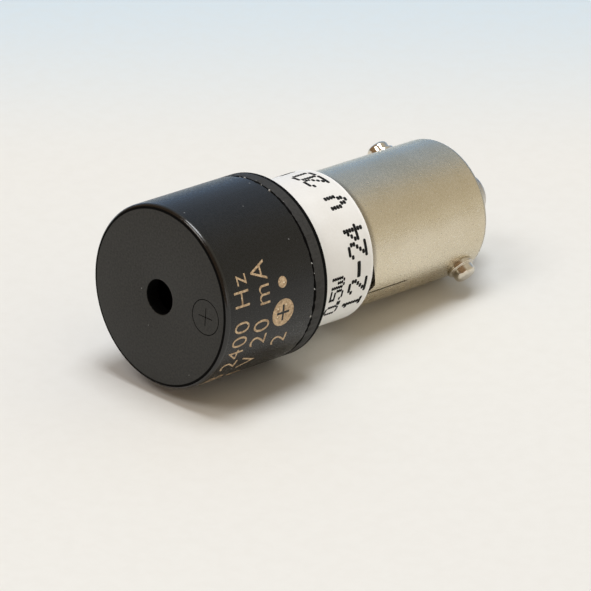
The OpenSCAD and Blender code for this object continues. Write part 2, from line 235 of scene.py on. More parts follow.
def flatShape(outlines, thick):
    curve = bpy.data.curves.new("flat", "CURVE")
    curve.dimensions = "2D"
    curve.fill_mode = "BOTH"
    curve.extrude = thick / 2
    for outline in outlines:
        spline = curve.splines.new("POLY")
        spline.points.add(len(outline) - 1)
        spline.use_cyclic_u = True
        for point, (x, y) in zip(spline.points, outline):
            point.co = (x, y, 0, 1)
    return solidFrom(curve)


def lettering(text, height, thick, spacing, slim):
    curve = bpy.data.curves.new("lettering", "FONT")
    curve.body = text
    curve.offset = -slim
    curve.extrude = thick / 2
    curve.space_character = spacing
    curve.align_x = "RIGHT"
    capShare = 0.729  # capital height in the built-in face, as a share of its size
    curve.size = height / capShare
    return solidFrom(curve)


def wrap(mesh, along, turn, radius, step=0.12):
    # lays a flat solid round the axis: it reads towards the top, with its head towards the sound face
    places = [vertex.co.x for vertex in mesh.verts]
    first = math.ceil(min(places) / step)
    last = math.floor(max(places) / step)
    for index in range(first, last + 1):
        everything = mesh.verts[:] + mesh.edges[:] + mesh.faces[:]
        bmesh.ops.bisect_plane(mesh, geom=everything, plane_co=(index * step, 0, 0), plane_no=(1, 0, 0))
    for vertex in mesh.verts:
        x, y, z = vertex.co
        vertex.co = onAxis(along - y, radius + z, turn + math.degrees(x / radius))
    return mesh


def layOnFace(mesh, across):
    # lays a flat solid on the sound face, to the near side of its centre
    for vertex in mesh.verts:
        x, y, z = vertex.co
        vertex.co = (across + x, -y, -z)
    return mesh


# Shader tools

def addNode(tree, kind, settings=None, **inputs):
    # an input is named by its socket, or by i and the socket's number
    node = tree.nodes.new(kind)
    for key, value in (settings or {}).items():
        setattr(node, key, value)
    for key, value in inputs.items():
        socket = node.inputs[int(key[1:])] if key[0] == "i" and key[1:].isdigit() else node.inputs[key]
        if isinstance(value, bpy.types.NodeSocket):
            tree.links.new(value, socket)
        else:
            socket.default_value = value
    return node


def maths(tree, operation, *values, clamp=False):
    inputs = {f"i{index}": value for index, value in enumerate(values)}
    return addNode(tree, "ShaderNodeMath", {"operation": operation, "use_clamp": clamp}, **inputs).outputs[0]


def dotWith(tree, vector, way):
    node = addNode(tree, "ShaderNodeVectorMath", {"operation": "DOT_PRODUCT"}, i0=vector, i1=way)
    return node.outputs["Value"]


def ramp(tree, value, low, high, toLow=0.0, toHigh=1.0):
    node = addNode(tree, "ShaderNodeMapRange", {"interpolation_type": "SMOOTHSTEP"}, Value=value)
    node.inputs["From Min"].default_value = low
    node.inputs["From Max"].default_value = high
    node.inputs["To Min"].default_value = toLow
    node.inputs["To Max"].default_value = toHigh
    return node.outputs["Result"]


def blend(tree, factor, first, second):
    node = addNode(tree, "ShaderNodeMix", {"data_type": "RGBA"}, i0=factor)
    for index, value in ((6, first), (7, second)):  # the two colour sockets
        if isinstance(value, bpy.types.NodeSocket):
            tree.links.new(value, node.inputs[index])
        else:
            node.inputs[index].default_value = (*value, 1)
    return node.outputs[2]


def grainNoise(tree, point, scale, detail, rough):
    node = addNode(tree, "ShaderNodeTexNoise", Vector=point, Scale=scale, Detail=detail, Roughness=rough)
    return node.outputs["Fac"]


def newGroup(name, inputs, outputs):
    group = bpy.data.node_groups.new(name, "ShaderNodeTree")
    for way, sockets in (("INPUT", inputs), ("OUTPUT", outputs)):
        for label, kind in sockets:
            group.interface.new_socket(label, in_out=way, socket_type=kind)
    entry = group.nodes.new("NodeGroupInput")
    leave = group.nodes.new("NodeGroupOutput")
    return group, entry.outputs, leave.inputs


def useGroup(tree, group, **inputs):
    return addNode(tree, "ShaderNodeGroup", {"node_tree": group}, **inputs).outputs


# Shared effects

floatKind = "NodeSocketFloat"
vectorKind = "NodeSocketVector"
effectSet = {
    "fineDetail": 5.0, "fineRough": 0.6, "broadDetail": 2.0, "broadRough": 0.5,
    "toneLow": 0.3, "toneHigh": 0.7, "speckCore": 0.6,
    "lineDetail": 3.0, "lineRough": 0.6, "lineLow": 0.5, "lineHigh": 0.72,
}


def axisPlaceGroup():
    # where a point lies on the buzzer, in millimetres
    group, _, leave = newGroup("axisPlace", [], [("Point", vectorKind), ("Along", floatKind)])
    spot = addNode(group, "ShaderNodeTexCoord").outputs["Object"]
    away = addNode(group, "ShaderNodeVectorMath", {"operation": "SUBTRACT"}, i0=spot, i1=faceCentre)
    parts = [dotWith(group, away.outputs[0], way / mm) for way in (side, up, axis)]
    point = addNode(group, "ShaderNodeCombineXYZ", i0=parts[0], i1=parts[1], i2=parts[2]).outputs[0]
    group.links.new(point, leave["Point"])
    group.links.new(parts[2], leave["Along"])
    return group


def mouldGrainGroup():
    # fine moulded or plated grain, with broad drifts of tone
    inputs = [("Point", vectorKind), ("Grain", floatKind), ("Drift", floatKind)]
    outputs = [("Height", floatKind), ("Fine", floatKind), ("Broad", floatKind)]
    group, entry, leave = newGroup("mouldGrain", inputs, outputs)
    point = entry["Point"]
    fine = grainNoise(group, point, entry["Grain"], effectSet["fineDetail"], effectSet["fineRough"])
    broad = grainNoise(group, point, entry["Drift"], effectSet["broadDetail"], effectSet["broadRough"])
    group.links.new(fine, leave["Height"])
    group.links.new(ramp(group, fine, effectSet["toneLow"], effectSet["toneHigh"]), leave["Fine"])
    group.links.new(ramp(group, broad, effectSet["toneLow"], effectSet["toneHigh"]), leave["Broad"])
    return group


def specksGroup():
    # scattered specks, such as dust, pits or flecks of plating
    inputs = [("Point", vectorKind), ("Scale", floatKind), ("Size", floatKind), ("Share", floatKind)]
    group, entry, leave = newGroup("specks", inputs, [("Mask", floatKind)])
    cells = addNode(
        group, "ShaderNodeTexVoronoi", {"feature": "F1"}, Vector=entry["Point"], Scale=entry["Scale"]).outputs
    kept = addNode(group, "ShaderNodeSeparateColor", Color=cells["Color"]).outputs[0]
    chosen = maths(group, "LESS_THAN", kept, entry["Share"])
    share = maths(group, "DIVIDE", cells["Distance"], entry["Size"])
    near = maths(group, "SUBTRACT", 1.0, share, clamp=True)
    speck = ramp(group, near, 0.0, effectSet["speckCore"])
    group.links.new(maths(group, "MULTIPLY", speck, chosen), leave["Mask"])
    return group


def rubbedGroup():
    # faint rubbed lines along the axis
    inputs = [("Point", vectorKind), ("Across", floatKind), ("Length", floatKind)]
    group, entry, leave = newGroup("rubbed", inputs, [("Mask", floatKind)])
    parts = addNode(group, "ShaderNodeSeparateXYZ", Vector=entry["Point"]).outputs
    x = maths(group, "MULTIPLY", parts[0], entry["Across"])
    y = maths(group, "MULTIPLY", parts[1], entry["Across"])
    z = maths(group, "MULTIPLY", parts[2], entry["Length"])
    stretched = addNode(group, "ShaderNodeCombineXYZ", i0=x, i1=y, i2=z).outputs[0]
    lines = grainNoise(group, stretched, 1.0, effectSet["lineDetail"], effectSet["lineRough"])
    group.links.new(ramp(group, lines, effectSet["lineLow"], effectSet["lineHigh"]), leave["Mask"])
    return group


axisPlace = axisPlaceGroup()
mouldGrain = mouldGrainGroup()
specks = specksGroup()
rubbed = rubbedGroup()


# Masks for a finish's layers, each made from the tree, the place on the buzzer and the grain

def fineGrain(tree, place, grain):
    return grain["Fine"]


def grainHeight(tree, place, grain):
    return grain["Height"]


def scattered(scale, size, share):
    def mask(tree, place, grain):
        return useGroup(tree, specks, Point=place["Point"], Scale=scale, Size=size, Share=share)["Mask"]
    return mask


def rubbedLines(across, length):
    def mask(tree, place, grain):
        return useGroup(tree, rubbed, Point=place["Point"], Across=across, Length=length)["Mask"]
    return mask


def makeFinish(name, look):
    # two tones in broad drifts, under layers that are each a mask, its strength and its colour
    finish = bpy.data.materials.new(name)
    finish.use_nodes = True
    tree = finish.node_tree
    shader = tree.nodes["Principled BSDF"]
    place = useGroup(tree, axisPlace)
    grain = useGroup(tree, mouldGrain, Point=place["Point"], Grain=look["grain"], Drift=look["drift"])
    tone = blend(tree, grain["Broad"], look["deep"], look["pale"])
    for mask, strength, colour in look["layers"]:
        tone = blend(tree, maths(tree, "MULTIPLY", mask(tree, place, grain), strength), tone, colour)
    tree.links.new(tone, shader.inputs["Base Color"])
    tree.links.new(ramp(tree, grain["Fine"], 0.0, 1.0, *look["rough"]), shader.inputs["Roughness"])
    shader.inputs["Metallic"].default_value = look.get("metallic", 0.0)
    shader.inputs["Specular IOR Level"].default_value = look.get("specular", 0.5)
    height = look.get("relief", grainHeight)(tree, place, grain)
    bump = addNode(tree, "ShaderNodeBump", Height=height, Distance=look["bump"] * mm)
    tree.links.new(bump.outputs["Normal"], shader.inputs["Normal"])
    return finish


# Sounder case, which shares its groove with the cover behind it

coverSet = {
    "fit": 0.04, "wall": 0.4, "floor": 0.5, "edge": 0.12, "shade": 0.33, "boss": 0.6, "holderWall": 0.72,
    "film": 0.01, "boreRound": 0.08, "bossRound": 0.05, "drillLength": 4.0,
}
caseSet = {
    "wall": 0.8, "faceThick": 1.0, "ledge": 0.35, "rim": 0.32, "holeEdge": 0.05, "innerRound": 0.1,
    "bevel": 0.085,
    # the torn parting line: how far it wanders, how finely, and the deeper nicks in it
    "jagReach": 0.085, "jagPitch": 0.26,
    "nickPitch": 0.624, "nickFloor": 0.25, "nickDepth": 1.6, "nickShift": (9, 4),
    # how far from an edge a face still counts as part of it
    "rimShade": 0.16, "faceDepth": 0.03, "holeSlack": 0.01, "slopeSlack": 0.02, "jagSlack": 0.1,
    "signAcross": 4.1, "signRadius": 1.15, "signLine": 0.055, "signReach": 0.6, "signDepth": 0.05,
    "signPoints": 72,
}
casePlastic = makeFinish("casePlastic", {
    "grain": 7.0, "drift": 0.35, "deep": (0.0048, 0.0049, 0.0051), "pale": (0.007, 0.0071, 0.0071),
    "layers": (
        (fineGrain, 0.5, (0.012, 0.012, 0.0119)),
        (scattered(scale=1.1, size=0.075, share=0.3), 0.75, (0.3, 0.31, 0.32)),
    ),
    "rough": (0.24, 0.36), "specular": 0.33, "bump": 0.008,
})
# the flat sound face is more matt than the side, and painted paler to stand in for the extra light it gets
litFacePlastic = makeFinish("litFacePlastic", {
    "grain": 7.0, "drift": 0.35, "deep": (0.0124, 0.0126, 0.0117), "pale": (0.0124, 0.0126, 0.0117),
    "layers": (
        (fineGrain, 1.0, (0.0342, 0.035, 0.0325)),
        (scattered(scale=1.1, size=0.066, share=0.3), 0.75, (0.3, 0.31, 0.32)),
    ),
    "rough": (0.4, 0.52), "specular": 0.33, "bump": 0.008,
})
rimPolish = makeFinish("rimPolish", {
    "grain": 8.0, "drift": 0.6, "deep": (0.004, 0.004, 0.004), "pale": (0.006, 0.006, 0.006),
    "layers": (
        (fineGrain, 0.4, (0.01, 0.01, 0.0095)),
        (scattered(scale=2.0, size=0.05, share=0.15), 0.3, (0.2, 0.2, 0.2)),
    ),
    "rough": (0.11, 0.23), "specular": 0.6, "bump": 0.002,
})
# near-black finish that paints the shade in the sound hole, the grooves, the rim's foot and the ring's last
# edge
grooveShade = makeFinish("grooveShade", {
    "grain": 9.0, "drift": 0.5, "deep": (0.0012, 0.0012, 0.0012), "pale": (0.002, 0.002, 0.002),
    "layers": (
        (fineGrain, 0.4, (0.003, 0.003, 0.003)),
        (scattered(scale=2.0, size=0.06, share=0.2), 0.3, (0.05, 0.05, 0.05)),
    ),
    "rough": (0.69, 0.81), "specular": 0.06, "bump": 0.01,
})
caseFinishes = [casePlastic, grooveShade, rimPolish, litFacePlastic]
shadeIndex = 1
rimIndex = 2
faceIndex = 3


def jagged(along, radius, turn):
    # the parting line's torn edge, where case and cover meet
    if abs(along - caseEnd) > caseSet["bevel"] + hair or radius < caseRadius - hair:
        return along, radius
    ring = onAxis(0, caseRadius, turn)
    wave = noise.noise(ring / caseSet["jagPitch"] + Vector((0, 0, along)))
    nick = noise.noise(ring / caseSet["nickPitch"] + Vector((*caseSet["nickShift"], along)))
    depth = max(0.0, nick - caseSet["nickFloor"]) * caseSet["nickDepth"]
    away = math.copysign(1, along - caseEnd)
    return along + away * caseSet["jagReach"] * (wave + depth), radius


def shadeEdges(piece):
    # painted shade: the sound hole's wall, the rim's foot, the parting line's slopes and the ring's last edge
    # take the near-black grooveShade finish
    slack = caseSet["slopeSlack"]
    slopeStart = caseRadius - caseSet["bevel"] + slack
    slopeReach = caseSet["bevel"] + caseSet["jagSlack"]
    rimStart = caseRadius - caseSet["rim"]
    for face in piece.data.polygons:
        x, y, along = face.center
        out = math.hypot(x, y)
        inHole = out < holeRadius + caseSet["holeSlack"] and along < caseSet["faceThick"]
        onSlope = slopeStart < out < caseRadius - slack and abs(along - caseEnd) < slopeReach
        onLast = along > coverEnd - coverSet["shade"] and out > caseRadius - coverSet["shade"]
        onRim = along < caseSet["rim"] and out > rimStart
        rimFoot = onRim and out < rimStart + caseSet["rimShade"]
        if inHole or onSlope or onLast or rimFoot:
            face.material_index = shadeIndex
        elif onRim and along > 0:
            face.material_index = rimIndex
        elif along < caseSet["faceDepth"]:
            face.material_index = faceIndex


def buildCase():
    boreRadius = caseRadius - caseSet["wall"]
    ledge = measure("diaphragm")[0]
    path = rounded([
        (caseStart, holeRadius, caseSet["holeEdge"]),
        (caseStart, caseRadius, caseSet["rim"]),
        (caseEnd - caseSet["bevel"], caseRadius, 0),
        (caseEnd, caseRadius - caseSet["bevel"], 0),
        (caseEnd, boreRadius, 0),
        (ledge, boreRadius, 0),
        (ledge, boreRadius - caseSet["ledge"], 0),
        (caseSet["faceThick"], boreRadius - caseSet["ledge"], caseSet["innerRound"]),
        (caseSet["faceThick"], holeRadius, caseSet["holeEdge"]),
    ])
    piece = makePiece("sounder_case", revolve(path, segments=360, shape=jagged), caseFinishes)
    shadeEdges(piece)
    # a plain ring and plus sign, sunk into the face on the positive terminal's side; their grooves take the
    # near-black grooveShade finish as painted shade
    half = caseSet["signLine"] / 2
    rings = [circle(caseSet["signRadius"] + away, caseSet["signPoints"]) for away in (half, -half)]
    plus = plusSign(caseSet["signReach"], caseSet["signLine"])
    sign = layOnFace(flatShape(rings + [plus], caseSet["signDepth"] * 2), caseSet["signAcross"])
    carve(piece, makePiece("signCutter", sign, [grooveShade]))
    seat(piece, "case_plastic", "case")


buildCase()
print("case done")


# Rear cover

coverPlastic = makeFinish("coverPlastic", {
    "grain": 6.0, "drift": 0.4, "deep": (0.028, 0.028, 0.0273), "pale": (0.038, 0.038, 0.037),
    "layers": (
        (fineGrain, 0.6, (0.06, 0.059, 0.057)),
        (scattered(scale=1.8, size=0.06, share=0.25), 0.7, (0.32, 0.32, 0.31)),
    ),
    "rough": (0.49, 0.61), "specular": 0.16, "bump": 0.014,
})


def buildCover():
    wallRadius = caseRadius - caseSet["wall"] - coverSet["fit"]
    boreRadius = wallRadius - coverSet["wall"]
    bossRadius = labelBore - coverSet["film"] - coverSet["holderWall"] - coverSet["fit"]
    front = measure("rear_cover")[0]
    path = rounded([
        (coverEnd - coverSet["floor"], 0, 0),
        (coverEnd - coverSet["floor"], boreRadius, coverSet["boreRound"]),
        (front, boreRadius, 0),
        (front, wallRadius, 0),
        (caseEnd, wallRadius, 0),
        (caseEnd, caseRadius - caseSet["bevel"], 0),
        (caseEnd + caseSet["bevel"], caseRadius, 0),
        (coverEnd - coverSet["shade"], caseRadius, 0),
        (coverEnd, caseRadius, coverSet["edge"]),
        (coverEnd, bossRadius, 0),
        (coverEnd + coverSet["boss"], bossRadius, coverSet["bossRound"]),
        (coverEnd + coverSet["boss"], 0, 0),
    ])
    piece = makePiece("cover_ring", revolve(path, segments=360, shape=jagged), [coverPlastic, grooveShade])
    shadeEdges(piece)
    for terminal in ("positive_terminal", "negative_terminal"):
        low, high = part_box(terminal)
        middle = intoFrame.inverted() @ ((low + high) / 2)
        radius = (high.x - low.x) / 2 / mm + coverSet["fit"]
        place = Matrix.Translation((middle.x, middle.y, coverEnd))
        drill(piece, coverPlastic, radius, coverSet["drillLength"], place)
    seat(piece, "cover_plastic", "rear_cover")


buildCover()
print("rear cover done")


# Burrs of torn plastic along the parting line

burrSet = {
    "count": 26, "small": 0.02, "large": 0.085, "stray": 0.16, "seed": 11, "sunk": 0.45,
    "lumpDepth": 0.5, "lumpShift": 7,
}
burrPlastic = makeFinish("burrPlastic", {
    "grain": 12.0, "drift": 2.0, "deep": (0.32, 0.32, 0.31), "pale": (0.5, 0.5, 0.48),
    "layers": (
        (fineGrain, 0.4, (0.2, 0.2, 0.19)),
        (scattered(scale=4.0, size=0.05, share=0.3), 0.4, (0.6, 0.6, 0.6)),
    ),
    "rough": (0.34, 0.46), "bump": 0.004,
})


def buildBurrs():
    draw = random.Random(burrSet["seed"])
    mesh = bmesh.new()
    for _ in range(burrSet["count"]):
        size = draw.uniform(burrSet["small"], burrSet["large"])
        along = caseEnd + draw.gauss(0, burrSet["stray"] / 2)
        spot = onAxis(along, caseRadius - size * burrSet["sunk"], draw.uniform(0, 360))
        made = bmesh.ops.create_icosphere(mesh, subdivisions=2, radius=size, matrix=Matrix.Translation(spot))
        for vertex in made["verts"]:
            away = vertex.co - spot
            lump = noise.noise(away / size + spot * burrSet["lumpShift"])
            vertex.co = spot + away * (1 + burrSet["lumpDepth"] * lump)
    seat(makePiece("parting_line_burrs", mesh, [burrPlastic], sharpAngle=60), "cover_plastic")


buildBurrs()
print("burrs done")


# Marked signs on the case's side: generic ratings and the polarity sign

signSet = {
    "lift": 0.008, "thick": 0.016, "slim": 0.018, "spacing": 1.12,
    # each row's text, its foot along the axis, the turn where it ends and its height
    "rows": (
        ("85 dB 2400 Hz", 2.03, 29.0, 1.36),
        ("12-24 V 20 mA", 3.82, 33.4, 1.44),
        ("2", 5.82, -18.1, 1.36),
    ),
    "discAlong": 5.0, "discTurn": -3.0, "discRadius": 0.93, "discPoints": 64,
    "plusReach": 0.55, "plusWidth": 0.17, "dotTurn": 16.3, "dotRadius": 0.37, "dotPoints": 40,
}
# painted glints: the near-white specks; the bright grain and dark streaks also stand in for the print's
# highlights and shade
markedGold = makeFinish("markedGold", {
    "grain": 6.0, "drift": 2.2, "deep": (0.27, 0.165, 0.085), "pale": (0.5, 0.345, 0.2),
    "layers": (
        (fineGrain, 0.75, (0.78, 0.61, 0.4)),
        (rubbedLines(across=9.0, length=3.0), 0.6, (0.14, 0.085, 0.045)),
        (scattered(scale=4.0, size=0.3, share=0.14), 1.0, (0.93, 0.85, 0.66)),
    ),
    "rough": (0.5, 0.68), "metallic": 0.15, "bump": 0.008,
})


def buildSigns():
    radius = caseRadius + signSet["lift"] - signSet["thick"] / 2
    signs = []
    for index, (text, base, top, height) in enumerate(signSet["rows"]):
        mesh = lettering(text, height, signSet["thick"], signSet["spacing"], signSet["slim"])
        signs.append((f"rating_row_{index + 1}", mesh, base, top))
    plus = plusSign(signSet["plusReach"], signSet["plusWidth"])
    disc = flatShape([circle(signSet["discRadius"], signSet["discPoints"]), plus], signSet["thick"])
    signs.append(("polarity_disc", disc, signSet["discAlong"], signSet["discTurn"]))
    dot = flatShape([circle(signSet["dotRadius"], signSet["dotPoints"])], signSet["thick"])
    signs.append(("polarity_dot", dot, signSet["discAlong"], signSet["dotTurn"]))
    for name, mesh, along, turn in signs:
        seat(makePiece(name, wrap(mesh, along, turn, radius), [markedGold]), "case_plastic")


buildSigns()
print("signs done")


# Label and its dot print

labelSet = {
    "gapTurn": 151.5, "gap": 0.3, "segments": 320, "edge": 0.03, "ripple": 0.008, "ripplePitch": 0.625,
    "inset": 0.012, "highlightFade": 0.3, "highlightFull": 0.05,
    "inkThick": 0.012, "inkLift": 0.0024, "printStep": 0.1,
    "dotExtra": 0.09, "dotTall": 0.94, "dashTall": 1.25, "dotCorner": 0.06,
    # each row's signs, with the turn where each begins
    "rowBase": 13.75, "rowRise": 0.245, "rowStep": 0.2,
    "row": (
        ("1", -31.3), ("2", -15.8), ("-", -2.3), ("2", 12.6), ("4", 25.5), ("V", 52.0),
        ("2", 76.7), ("0", 88.3), ("m", 113.0), ("A", 125.0),
    ),
    "smallBase": 11.64, "smallRise": 0.17, "smallStep": 0.155,
    "smallRow": (("0", -31.5), (".", -24.5), ("5", -17.1), ("W", -6.7)),
}
# five columns by seven rows of print dots for each sign used
dotSigns = {
    "0": (".###.", "#...#", "#...#", "#...#", "#...#", "#...#", ".###."),
    "1": ("..#..", ".##..", "..#..", "..#..", "..#..", "..#..", ".###."),
    "2": (".###.", "#...#", "....#", "...#.", "..#..", ".#...", "#####"),
    "4": ("...#.", "..##.", ".#.#.", "#..#.", "#####", "...#.", "...#."),
    "5": ("#####", "#....", "####.", "....#", "....#", "#...#", ".###."),
    "A": (".###.", "#...#", "#...#", "#####", "#...#", "#...#", "#...#"),
    "m": (".....", ".....", "##.#.", "#.#.#", "#.#.#", "#.#.#", "#.#.#"),
    "V": ("#...#", "#...#", "#...#", "#...#", ".#.#.", ".#.#.", "..#.."),
    "W": ("#...#", "#...#", "#...#", "#.#.#", "#.#.#", "#.#.#", ".#.#."),
    "-": (".....", ".....", ".....", "#####", ".....", ".....", "....."),
    ".": (".....", ".....", ".....", ".....", ".....", ".##..", ".##.."),
}


def cutEdgeHighlight(tree, place, grain):
    # painted highlight along the film's two cut edges
    fromFront = maths(tree, "SUBTRACT", place["Along"], coverEnd)
    fromRear = maths(tree, "SUBTRACT", labelEnd, place["Along"])
    nearest = maths(tree, "MINIMUM", fromFront, fromRear)
    return ramp(tree, nearest, labelSet["highlightFade"], labelSet["highlightFull"])


labelFilm = makeFinish("labelFilm", {
    "grain": 6.0, "drift": 0.45, "deep": (0.81, 0.805, 0.785), "pale": (0.85, 0.85, 0.835),
    "layers": (
        (fineGrain, 0.35, (0.89, 0.895, 0.885)),
        (cutEdgeHighlight, 0.8, (0.96, 0.96, 0.95)),
        (scattered(scale=1.3, size=0.05, share=0.12), 0.5, (0.35, 0.33, 0.3)),
    ),
    "rough": (0.48, 0.6), "specular": 0.4, "bump": 0.01,
})
labelInk = makeFinish("labelInk", {
    "grain": 14.0, "drift": 2.0, "deep": (0.003, 0.003, 0.003), "pale": (0.006, 0.006, 0.006),
    "layers": ((fineGrain, 0.4, (0.012, 0.012, 0.012)),),
    "rough": (0.55, 0.75), "specular": 0.15, "bump": 0.006,
})


def buildLabel():
    # a film with two free ends, wound round the holder
    half = math.degrees(labelSet["gap"] / 2 / labelRadius)
    corners = rounded([
        (coverEnd, labelBore, 0),
        (coverEnd, labelRadius, labelSet["edge"]),
        (labelEnd, labelRadius, labelSet["edge"]),
        (labelEnd, labelBore, 0),
    ], steps=4)
    mesh = bmesh.new()
    rings = []
    for index in range(labelSet["segments"] + 1):
        share = index / labelSet["segments"]
        turn = labelSet["gapTurn"] + half + share * (360 - 2 * half)
        ring = []
        for along, radius in corners:
            atEdge = abs(along - coverEnd) < hair or abs(along - labelEnd) < hair
            spot = onAxis(0, radius, turn) / labelSet["ripplePitch"]
            ripple = noise.noise(spot + Vector((0, 0, round(along)))) * labelSet["ripple"]
            inset = labelSet["inset"] + ripple if atEdge else 0
            shift = inset if along < (coverEnd + labelEnd) / 2 else -inset
            ring.append(mesh.verts.new(onAxis(along + shift, radius, turn)))
        rings.append(ring)
    for low, high in zip(rings, rings[1:]):
        for step in range(len(low)):
            after = (step + 1) % len(low)
            mesh.faces.new((low[step], low[after], high[after], high[step]))
    mesh.faces.new(rings[0])
    mesh.faces.new(rings[-1])
    seat(makePiece("label_wrap", mesh, [labelFilm], sharpAngle=50), "label_film", "label")


def dotBar(x, y, wide, tall):
    # one bar of print about its middle, with its corners taken off
    corner = labelSet["dotCorner"]
    return [
        (x + wide, y + tall - corner), (x + wide - corner, y + tall),
        (x - wide + corner, y + tall), (x - wide, y + tall - corner),
        (x - wide, y - tall + corner), (x - wide + corner, y - tall),
        (x + wide - corner, y - tall), (x + wide, y - tall + corner),
    ]


def dotRow(name, signs, base, rise, step):
    # dots that lie side by side round the label run together into one bar
    radius = labelRadius + labelSet["inkLift"]
    outlines = []
    for sign, turn in signs:
        start = math.radians(turn) * radius
        tall = rise / 2 * (labelSet["dashTall"] if sign == "-" else labelSet["dotTall"])
        lines = dotSigns[sign]
        for row, line in enumerate(lines):
            y = (len(lines) - row - 0.5) * rise
            for bar in re.finditer("#+", line):
                x = start + (bar.start() + bar.end()) / 2 * step
                wide = ((bar.end() - bar.start()) * step + labelSet["dotExtra"]) / 2
                outlines.append(dotBar(x, y, wide, tall))
    mesh = wrap(flatShape(outlines, labelSet["inkThick"]), base, 0, radius, labelSet["printStep"])
    seat(makePiece(name, mesh, [labelInk]), "label_film")


buildLabel()
dotRow("label_print", labelSet["row"], labelSet["rowBase"], labelSet["rowRise"], labelSet["rowStep"])
dotRow(
    "label_small_print", labelSet["smallRow"], labelSet["smallBase"],
    labelSet["smallRise"], labelSet["smallStep"])
print("label done")


# Bayonet shell

shellSet = {
    "wall": 0.3, "endRound": 0.4, "lip": 0.05, "mouthRound": 0.08,
    "slitTurn": -28.5, "slitLength": 4.3, "slitWidth": 0.13,
    "reliefWidth": 3.2, "reliefLength": 1.0, "reliefTurn": 0.6, "reliefNib": 0.55,
    "cutPast": 0.3, "cutOut": 1.0,
    "holeRadius": 0.56, "drillLength": 2.0, "drillSunk": 0.3,
    # painted shade in the corner by the label and a painted dark reflection on the turned end
    "labelShadeStart": labelEnd + 0.45, "labelShadeEnd": labelEnd + 0.85, "paintedShadeMix": 0.6,
    "endShadeStart": shellEnd - 0.44, "endShadeFull": shellEnd - 0.2, "pitDepth": 0.5,
}
platingPits = scattered(scale=4.0, size=0.22, share=0.22)


# painted shade by the label and a painted dark reflection on the turned end
def paintedCornerShade(tree, place, grain):
    byLabel = ramp(tree, place["Along"], shellSet["labelShadeEnd"], shellSet["labelShadeStart"])
    atEnd = ramp(tree, place["Along"], shellSet["endShadeStart"], shellSet["endShadeFull"])
    return maths(tree, "ADD", byLabel, atEnd, clamp=True)


def platingRelief(tree, place, grain):
    sunk = maths(tree, "MULTIPLY", platingPits(tree, place, grain), shellSet["pitDepth"])
    return maths(tree, "SUBTRACT", grain["Height"], sunk)


# dull plating with a fine sparkle of painted glints, a few pits and faint rubbing along the axis
satinNickel = makeFinish("satinNickel", {
    "grain": 9.0, "drift": 0.3, "deep": (0.61, 0.535, 0.39), "pale": (0.67, 0.6, 0.465),
    "layers": (
        (fineGrain, 0.5, (0.76, 0.69, 0.555)),
        (rubbedLines(across=7.0, length=0.25), 0.12, (0.52, 0.48, 0.42)),
        (platingPits, 0.5, (0.3, 0.26, 0.2)),
        (scattered(scale=4.6, size=0.22, share=0.22), 0.5, (0.95, 0.93, 0.89)),
        # painted shade by the label and on the turned end
        (paintedCornerShade, shellSet["paintedShadeMix"], (0.14, 0.125, 0.105)),
    ),
    "rough": (0.2, 0.32), "metallic": 1.0, "relief": platingRelief, "bump": 0.014,
})


def pinPlace(pin):
    # where a pin leaves the shell, and which way it points, in the pieces' own millimetres
    back = intoFrame.inverted()
    way = (back.to_3x3() @ Vector(mounts[pin]["axis"])).normalized()
    along = (back @ Vector(mounts[pin]["pos_m"])).z
    return Vector((0, 0, along)) + way * shellRadius, way


def pointAlong(way):
    return Vector((0, 0, 1)).rotation_difference(way).to_matrix().to_4x4()


def slitCutter(bore):
    # the slit and the slanted notch beside it, as one cutter through the wall
    past = shellSet["cutPast"]
    half = shellSet["slitWidth"] / 2
    slope = (shellSet["reliefWidth"] - shellSet["reliefTurn"]) / shellSet["reliefLength"]
    outline = [
        (-past, half), (shellSet["slitLength"], half), (shellSet["slitLength"], -half),
        (shellSet["reliefNib"], -half), (shellSet["reliefLength"], -shellSet["reliefTurn"]),
        (-past, -shellSet["reliefWidth"] - past * slope),
    ]
    cutter = bmesh.new()
    near, far = [
        [cutter.verts.new((x, across, shellStart + along)) for along, across in outline]
        for x in (bore / 2, shellRadius + shellSet["cutOut"])]
    cutter.faces.new(near)
    cutter.faces.new(far)
    for index in range(len(outline)):
        after = (index + 1) % len(outline)
        cutter.faces.new((near[index], near[after], far[after], far[index]))
    turn = Matrix.Rotation(-math.radians(shellSet["slitTurn"]), 3, "Z")
    bmesh.ops.rotate(cutter, verts=cutter.verts, matrix=turn)
    return makePiece("slitCutter", cutter, [satinNickel])


def buildShell():
    bore = shellRadius - shellSet["wall"]
    path = rounded([
        (shellStart, bore, 0),
        (shellStart, shellRadius, shellSet["lip"]),
        (shellEnd, shellRadius, shellSet["endRound"]),
        (shellEnd, mouthRadius, shellSet["mouthRound"]),
        (shellEnd - shellSet["wall"], mouthRadius, 0),
        (shellEnd - shellSet["wall"], bore, shellSet["endRound"] - shellSet["wall"]),
    ], steps=10)
    piece = makePiece("bayonet_sleeve", revolve(path, segments=360), [satinNickel])
    carve(piece, slitCutter(bore))
    for pin in ("near_pin", "far_pin"):
        root, way = pinPlace(pin)
        place = Matrix.Translation(root - way * shellSet["drillSunk"]) @ pointAlong(way)
        drill(piece, satinNickel, shellSet["holeRadius"], shellSet["drillLength"], place)
    seat(piece, "satin_nickel", "bayonet_shell")


buildShell()
print("shell done")


# Bayonet pins

